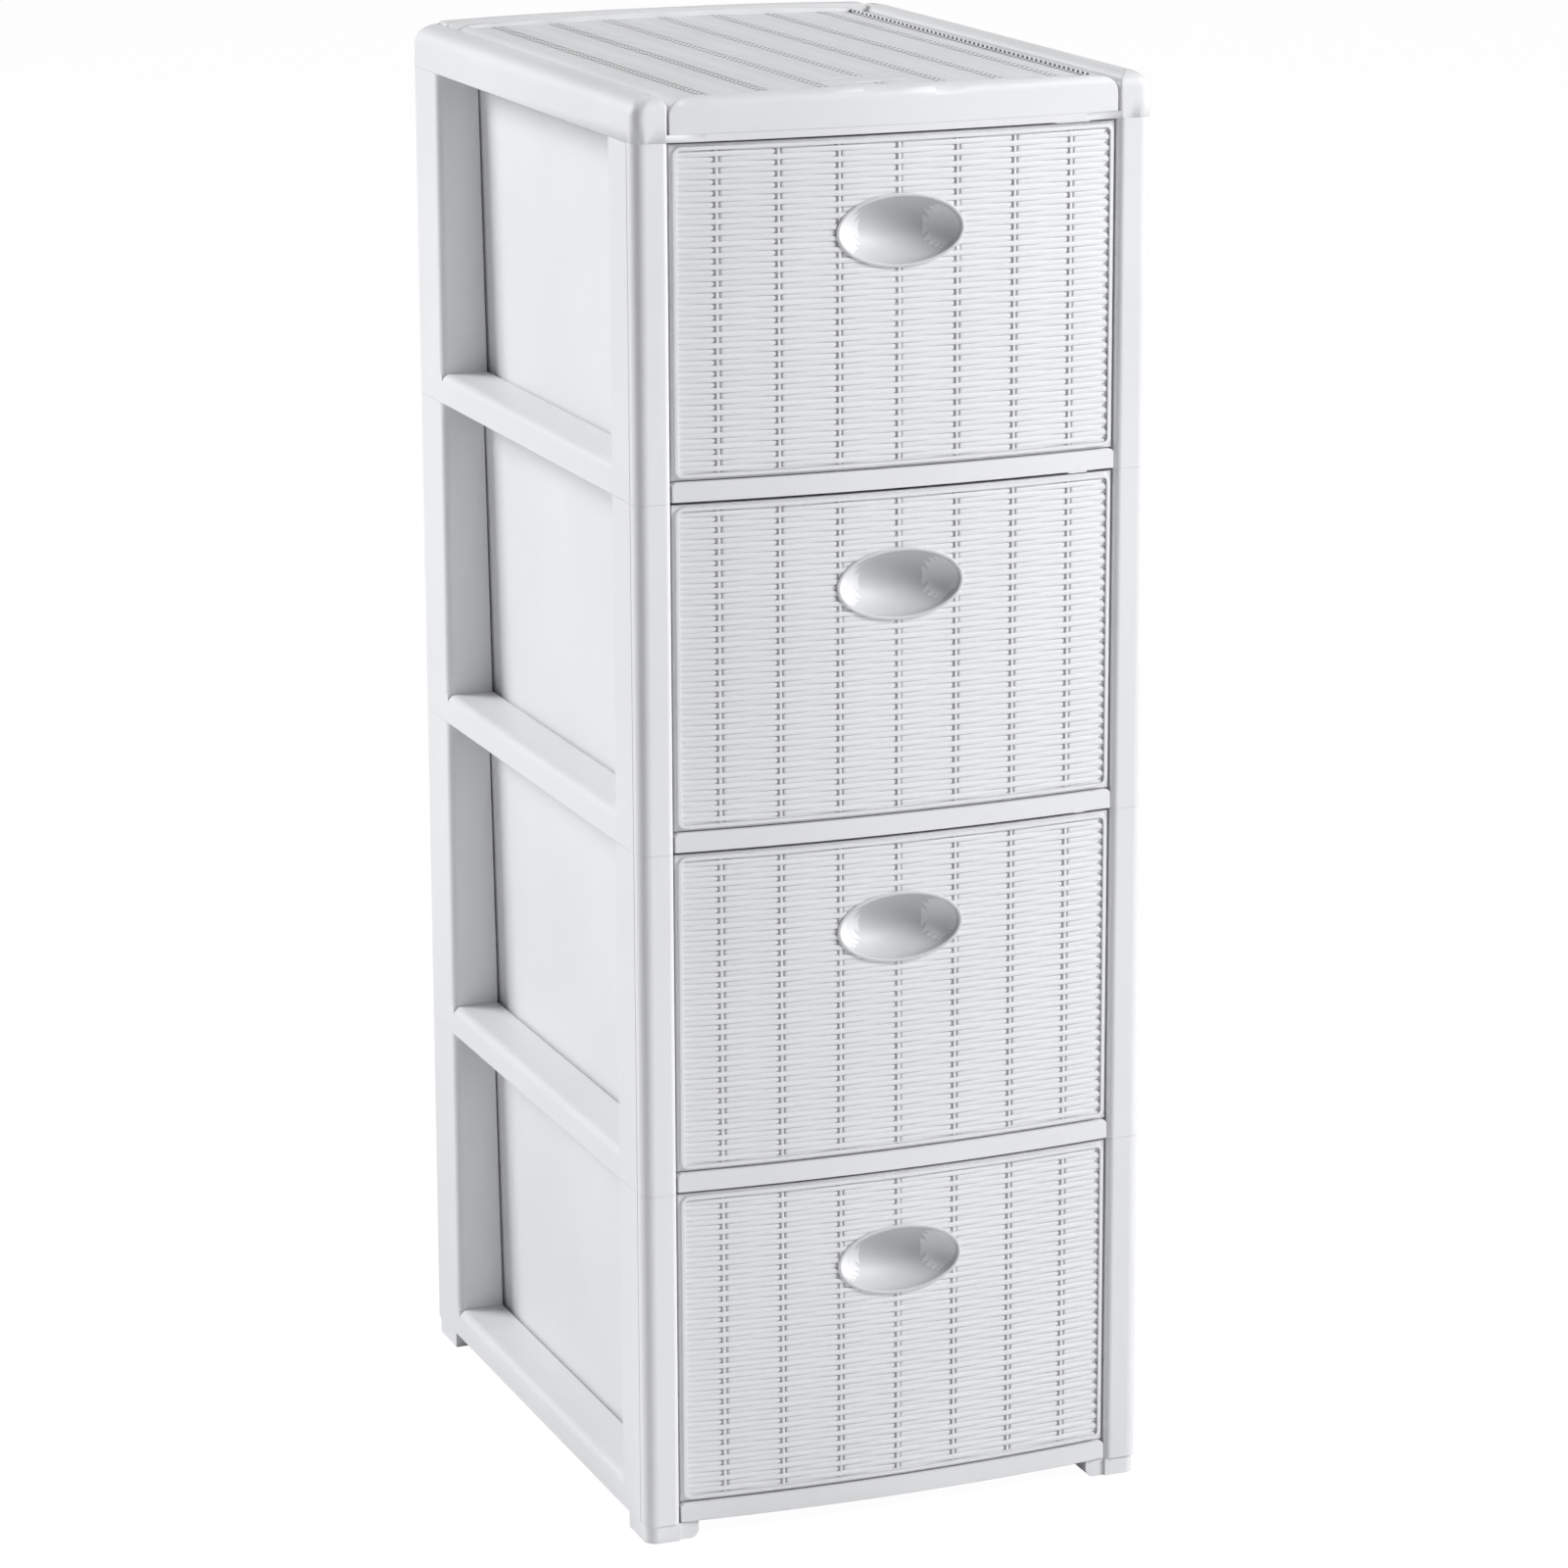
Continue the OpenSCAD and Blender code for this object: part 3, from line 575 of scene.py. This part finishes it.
def add_deck_weave():
    """The woven field of the top, behind its bowed front border and round the bare plate."""
    weave = Weave(
        half=DECK_HALF, low=FRONT_Y + DECK_GRID_FRONT, high=PANEL_FIELD_BACK,
        strand=DECK_STRAND, first_edge=DECK_STRAND_BACK,
        face_r=CROWN_R - PANEL_FIELD_DEPTH, fall=CROWN_R, cells=DECK_STAKE_CELLS, rows=DECK_STRAND_ROWS,
        hole=DECK_PLATE, border_r=LIP_R - APRON_SET - PANEL_STRIP_FRONT + FIELD_MARGIN, border_y=LIP_Y,
        slot=DECK_SLOT, wall_shade=DECK_WALL_SHADE, tooth=DECK_TOOTH, bluntness=DECK_BLUNTNESS)
    mesh = grown("deck_weave", *woven_tree("deck_weave", weave, deck_plastic))
    mesh.transform(Matrix.Translation((0, 0, RAIL_Z * MM)))
    add_piece("deck_weave", mesh, "frame")


# ---------- painted shade in the openings along the right border of the top ---

OPENING_LOW = 0.75       # height of their lower edge over the floor of the field
OPENING_TALL = 1.4
OPENING_OUT = 0.06       # how far they lie off the border's wall
OPENING_FRONT = 24       # from the front of the tower to where they stop


def opening_tree(openings):
    """Geometry Nodes tree that sets one small dark patch at every second strand along a line: painted shade
    for an opening.
    """
    values = {"Openings": openings, "Strand": DECK_STRAND * MM, "Tall": OPENING_TALL * MM}
    tree, v = new_tree("painted_opening_shade", values)
    step = node(tree, "ShaderNodeCombineXYZ", {}, {1: v["Strand"] * -2.0})
    line = node(tree, "GeometryNodeMeshLine", {}, {"Count": v["Openings"], "Offset": step})
    patch = node(tree, "GeometryNodeMeshGrid", {}, {
        "Size X": v["Tall"], "Size Y": v["Strand"], "Vertices X": 2, "Vertices Y": 2})
    made = node(tree, "GeometryNodeInstanceOnPoints", {}, {
        "Points": line, "Instance": patch, "Rotation": (0, -math.pi / 2, 0)})
    made = node(tree, "GeometryNodeRealizeInstances", {}, {"Geometry": made})
    # the whole patch is dark: painted shade
    made = with_attribute(tree, made, "pit_shade", "FLOAT", 1.0)
    end_tree(tree, made, deck_plastic)
    return tree, values


def add_border_openings():
    """Painted shade: dark patches standing in for the shade in the openings where the strands of the top
    end at the wall of its right border.
    """
    first = DECK_STRAND_BACK - 1.5 * DECK_STRAND
    last = FRONT_Y + OPENING_FRONT
    openings = int((first - last) / (2 * DECK_STRAND)) + 1
    mesh = grown("painted_opening_shade", *opening_tree(openings))
    floor_z = RAIL_Z - PANEL_FIELD_DEPTH + arc_height(CROWN_R, DECK_HALF)
    mesh.transform(shift(DECK_HALF - OPENING_OUT, first, floor_z + OPENING_LOW + OPENING_TALL / 2))
    add_piece("painted_opening_shade", mesh, "frame")


# ---------- handle cups and the bare plate ----------

OVAL_TURNS = 96          # points round an oval
LIP_STEPS = 8            # steps over the round top of a lip

CUP_SKIN = 0.22          # how far the lining of a recess lies off the solid
CUP_LIP_IN = 1.2         # how deep the inner side of its lip goes
CUP_LIP_OUT = -2.6       # height at which the outer side of its lip starts, over the drawer's front
CUP_LIP_WIDER = 0.1      # how much wider than the solid ring the lip is
CUP_LIP_PROUD = 0.15     # and how much prouder
BOWL_STEPS = 22
BOWL_POWER = 0.6         # 0.5 for an ellipsoid, more for a bowl with a narrower floor
BOWL_MIDDLE = (0.05, 0.03)

PLATE_LIP_IN = 1.0       # from the edge of the weave to the inner side of the plate's lip
PLATE_LIP_W = 1.6
PLATE_LIP_LOW = -0.1
PLATE_LIP_TOP = 1.0
PLATE_TOP = 0.55         # height of the plate over the floor of the field
PLATE_CROWN = 0.12


def lathe_ellipse(name, profile, plastic):
    """Mesh of a profile swept round an ellipse and closed in its middle.
    The profile's points are (half width, half height, depth)."""
    turns = OVAL_TURNS
    points = []
    for half_w, half_h, depth in profile:
        for i in range(turns):
            a = 2 * math.pi * i / turns
            points.append((half_w * math.cos(a), half_h * math.sin(a), depth))
    faces = []
    for ring in range(len(profile) - 1):
        for i in range(turns):
            a, b = ring * turns + i, ring * turns + (i + 1) % turns
            faces.append((a, b, b + turns, a + turns))
    faces.append(tuple((len(profile) - 1) * turns + i for i in range(turns)))
    return plain_mesh(name, points, faces, plastic)


def follow_face(mesh, radius):
    """Bows or crowns a flat mesh, drawn with z out of the face, over a face of that radius."""
    for vertex in mesh.vertices:
        vertex.co.z += arc_height(radius, vertex.co.x / MM) * MM


def lip_profile(half_w, half_h, inner, width, low, high):
    """Rounded lip round an ellipse: up its outer side, over its round top and down to the inner edge."""
    rows = [(half_w + width, half_h + width, low)]
    for i in range(LIP_STEPS + 1):
        a = math.pi * i / LIP_STEPS
        out = width / 2 * (1 + math.cos(a))
        rows.append((half_w + out, half_h + out, high - width / 2 + width / 2 * math.sin(a)))
    rows.append((half_w, half_h, inner))
    return rows


def cup_profile():
    """Lip, straight collar and smooth bowl of a handle recess, just inside the solid one."""
    half_w = SCOOP_HALF_W - CUP_SKIN
    half_h = SCOOP_HALF_H - CUP_SKIN
    face = -FRONT_SET
    rows = lip_profile(half_w, half_h, inner=face - CUP_LIP_IN, width=RING_W + CUP_SKIN + CUP_LIP_WIDER,
                       low=CUP_LIP_OUT, high=face + RING_PROUD + CUP_LIP_PROUD)
    rows += [(half_w, half_h, face - SCOOP_COLLAR * k / 3) for k in (2, 3)]
    for i in range(1, BOWL_STEPS + 1):
        q = math.cos(math.pi / 2 * i / BOWL_STEPS)
        depth = (SCOOP_BOWL - CUP_SKIN) * (1 - q * q) ** BOWL_POWER
        rows.append((max(half_w * q, BOWL_MIDDLE[0]), max(half_h * q, BOWL_MIDDLE[1]),
                     face - SCOOP_COLLAR - depth))
    return rows


def add_cups():
    """The smooth lining and lip of every recess."""
    # the lining's plastic is darker: painted shade in the recess
    flat = lathe_ellipse("handle_cup", cup_profile(), shaded_cup_plastic)
    follow_face(flat, BOW_R)
    for n in range(1, LEVELS + 1):
        mesh = flat.copy()
        mesh.transform(shift(0, FRONT_Y, level_z(n) + SCOOP_Z) @ UPRIGHT)
        add_piece(f"handle_cup_{n}", mesh, f"drawer_{n}")


def add_bare_plate():
    """Smooth raised oval near the front of the top, left bare."""
    x, y, half_w, half_h = DECK_PLATE
    half_w, half_h = half_w - PLATE_LIP_IN, half_h - PLATE_LIP_IN
    rows = lip_profile(half_w, half_h, inner=PLATE_TOP, width=PLATE_LIP_W,
                       low=PLATE_LIP_LOW, high=PLATE_LIP_TOP)
    rows += [(half_w * q, half_h * q, PLATE_TOP + PLATE_CROWN * (1 - q * q)) for q in (0.9, 0.7, 0.4, 0.1)]
    mesh = lathe_ellipse("bare_plate", rows, frame_plastic)
    mesh.transform(shift(x, y, 0))
    follow_face(mesh, CROWN_R)
    mesh.transform(Matrix.Translation((0, 0, (RAIL_Z - PANEL_FIELD_DEPTH) * MM)))
    add_piece("bare_plate", mesh, "frame")


# ---------- rounded corners of the top frame ----------

RAIL_SIDE_R = 11          # radius of a side rail's round top, on its outer side
RAIL_FRONT_Y = -189
# for the front and the rear end: its y, the way in, the radius of its upright corner and of its top edge
RAIL_ENDS = ((RAIL_FRONT_Y, 1, 7, 8), (REAR_Y, -1, 12, 14))
CORNER_W = 18             # how far the corners that are redrawn reach, in from the side,
CORNER_FRONT = 15         # back from the front end,
CORNER_REAR = 26          # forward from the rear end
CORNER_TALL = 14          # and down from the top
FINE_CUTS = (0.1, 0.4, 0.8, 1.4)
SLACK = 0.1               # how far over the edge of a rounding a point may lie and still belong to it
SHARP = math.radians(35)  # edges that turn by more than this stay sharp


def turned_in(down, radius):
    """How far in from its side a rounded edge of that radius is, down under the top."""
    up = max(radius - max(down, 0.0), 0.0)
    return radius - math.sqrt(radius * radius - up * up)


def rounded_place(x, y, z):
    """Where a point of the top frame lies once the upper corners of its rails are round."""
    down = RAIL_Z - z
    for end, inwards, corner_r, edge_r in RAIL_ENDS:
        side_in, end_in = turned_in(down, RAIL_SIDE_R), turned_in(down, edge_r)
        across = corner_r - (SIDE_X - side_in - abs(x))
        along = corner_r - ((y - end) * inwards - end_in)
        away = math.hypot(across, along)
        reach = corner_r + SLACK
        on_rail = 0 < across < reach and 0 < along < reach and down > -0.01
        if on_rail and away > corner_r:
            across, along = across * corner_r / away, along * corner_r / away
            x = math.copysign(SIDE_X - side_in - corner_r + across, x)
            y = end + inwards * (end_in + corner_r - along)
    return x, y, z


def corner_cuts():
    """Planes that divide the rails' corners finely, as (axis, place)."""
    cuts = [(0, side * (SIDE_X - k)) for side in (-1, 1) for k in range(1, CORNER_W + 1)]
    cuts += [(1, RAIL_FRONT_Y + k) for k in range(1, CORNER_FRONT + 1)]
    cuts += [(1, REAR_Y - k) for k in range(1, CORNER_REAR + 1)]
    return cuts + [(2, RAIL_Z - k) for k in (*FINE_CUTS, *range(2, CORNER_TALL + 1))]


def meets_corner(face):
    """Whether a face lies on a rail, high up and near one of its ends."""
    high = max(v.co.z for v in face.verts) > (RAIL_Z - CORNER_TALL) * MM
    out = max(abs(v.co.x) for v in face.verts) > (SIDE_X - CORNER_W) * MM
    front = min(v.co.y for v in face.verts) < (RAIL_FRONT_Y + CORNER_FRONT) * MM
    back = max(v.co.y for v in face.verts) > (REAR_Y - CORNER_REAR) * MM
    return high and out and (front or back)


def cut_corners(shape, axis, place):
    """Divides the faces at the rails' corners along one plane."""
    point, normal = [0, 0, 0], [0, 0, 0]
    point[axis], normal[axis] = place * MM, 1
    faces = [face for face in shape.faces if meets_corner(face)]
    edges = {edge for face in faces for edge in face.edges}
    points = {vertex for face in faces for vertex in face.verts}
    bmesh.ops.bisect_plane(shape, geom=[*points, *edges, *faces], dist=1e-7,
                           plane_co=point, plane_no=normal)


def add_rounded_top_frame():
    """The top frame with the upper corners of its rails rounded, shown in place of the plain one."""
    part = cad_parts["top_frame"]
    mesh = part.data.copy()
    mesh.name = "top_frame_rounded"
    mesh.transform(part.matrix_world)
    shape = bmesh.new()
    shape.from_mesh(mesh)
    bmesh.ops.remove_doubles(shape, verts=shape.verts, dist=1e-6)
    for axis, place in corner_cuts():
        cut_corners(shape, axis, place)
    for vertex in shape.verts:
        vertex.co = Vector(rounded_place(*(vertex.co / MM))) * MM
    shape.to_mesh(mesh)
    shape.free()
    mesh.shade_smooth()
    mesh.set_sharp_from_angle(angle=SHARP)
    piece = add_piece("top_frame_rounded", mesh, "frame")
    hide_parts("top_frame")


# ---------- skins of the rear posts' corners ----------

SKIN_UNDER = 0.06         # how far under the round corner a skin lies
SKIN_TURN = (20, 50)      # where round the corner it starts and how far it goes, in degrees from the side
SKIN_STEPS = 16
SKIN_END = 2              # from the ends of the posts to its own


def add_corner_skins():
    """Skins just under the round outer corners of the rear posts, whose hollows come through them."""
    skin_r = REAR_CORNER_R - SKIN_UNDER
    centre_x, centre_y = SIDE_X - REAR_CORNER_R, REAR_Y - REAR_CORNER_R
    start, turn = SKIN_TURN
    for side, name in ((-1, "left"), (1, "right")):
        points, faces = [], []
        for i in range(SKIN_STEPS + 1):
            a = math.radians(start + turn * i / SKIN_STEPS)
            x, y = side * (centre_x + skin_r * math.cos(a)), centre_y + skin_r * math.sin(a)
            points += [(x, y, z) for z in (FOOT_H + SKIN_END, TOP_Z - SKIN_END)]
        for i in range(SKIN_STEPS):
            face = (2 * i, 2 * i + 2, 2 * i + 3, 2 * i + 1)
            faces.append(face if side < 0 else face[::-1])
        mesh = plain_mesh(f"corner_skin_{name}", points, faces, frame_plastic)
        add_piece(f"corner_skin_{name}", mesh, "frame")


# ---------- studio ----------

FLOOR_HALF = 12000
FLOOR_GLOW = 1.08         # how bright the floor shows to the camera
FLOOR_GLOW_SHARE = 0.9    # share of that glow, the rest shows its shadows
WORLD_FILL = 0.14
LAMP_TARGET = Vector((0, 0, 0.45))
PURE_WHITE = (1, 1, 1, 1)


def add_floor():
    """Pale floor that shows white to the camera and keeps a faint shadow of the tower."""
    material, tree = new_material("pale_floor")
    cloud = noise(tree, place_on_object(tree), per_metre=1.5)
    colour = mixed(tree, cloud, (0.80, 0.80, 0.81, 1), (0.84, 0.84, 0.85, 1))
    matt = node(tree, "ShaderNodeBsdfDiffuse", {}, {"Color": colour})
    glow = node(tree, "ShaderNodeEmission", {}, {"Color": PURE_WHITE, "Strength": FLOOR_GLOW})
    camera = node(tree, "ShaderNodeLightPath", {}, {}, output="Is Camera Ray")
    both = node(tree, "ShaderNodeMixShader", {}, {0: camera * FLOOR_GLOW_SHARE, 1: matt, 2: glow})
    node(tree, "ShaderNodeOutputMaterial", {}, {"Surface": both})
    half = FLOOR_HALF
    points = [(-half, -half, 0), (half, -half, 0), (half, half, 0), (-half, half, 0)]
    floor = add_object("floor", plain_mesh("floor", points, [(0, 1, 2, 3)], material))


def add_world(fill):
    """White to the camera, and a soft even fill on the object."""
    world = bpy.data.worlds.new("studio")
    world.use_nodes = True
    tree = world.node_tree
    tree.nodes.clear()
    camera = node(tree, "ShaderNodeLightPath", {}, {}, output="Is Camera Ray")
    soft = node(tree, "ShaderNodeBackground", {}, {"Color": PURE_WHITE, "Strength": fill})
    white = node(tree, "ShaderNodeBackground", {}, {"Color": PURE_WHITE, "Strength": 1.0})
    both = node(tree, "ShaderNodeMixShader", {}, {0: camera, 1: soft, 2: white})
    node(tree, "ShaderNodeOutputWorld", {}, {"Surface": both})
    bpy.context.scene.world = world


def add_lamp(name, side, height, distance, size, watts):
    """Square soft box, in metres. side is its bearing in degrees, from the front towards +X,
    and height its angle over the floor."""
    lamp = bpy.data.lights.new(name, "AREA")
    lamp.shape = "SQUARE"
    lamp.size = size
    lamp.energy = watts
    a, e = math.radians(side), math.radians(height)
    towards = Vector((math.sin(a) * math.cos(e), -math.cos(a) * math.cos(e), math.sin(e)))
    box = add_object(name, lamp)
    box.location = LAMP_TARGET + towards * distance
    box.rotation_euler = (-towards).to_track_quat("-Z", "Y").to_euler()


def add_camera():
    """Camera fitted to the corners of the tower in the photograph."""
    lens = bpy.data.cameras.new("camera")
    lens.sensor_width = 36
    lens.lens = 125.27
    lens.shift_x = -0.02
    lens.shift_y = -0.045
    lens.clip_end = 60
    camera = add_object("camera", lens)
    yaw, pitch, roll = 0.3791, -0.2377, -0.0026
    ahead = Vector((math.sin(yaw) * math.cos(pitch), math.cos(yaw) * math.cos(pitch), math.sin(pitch)))
    turned = ahead.to_track_quat("-Z", "Y").to_matrix() @ Matrix.Rotation(roll, 3, "Z")
    camera.location = (-1.1132, -2.8627, 1.1645)
    camera.rotation_euler = turned.to_euler()
    bpy.context.scene.camera = camera


bpy.context.scene.view_settings.view_transform = "Standard"
dress_cad_nodes()
add_front_weaves()
add_deck_weave()
add_border_openings()
add_cups()
add_bare_plate()
add_rounded_top_frame()
add_corner_skins()
add_floor()
add_world(WORLD_FILL)
add_lamp("key_lamp", side=50, height=30, distance=4.0, size=1.6, watts=143)
add_lamp("side_lamp", side=-128, height=28, distance=4.5, size=2.0, watts=166)
add_camera()
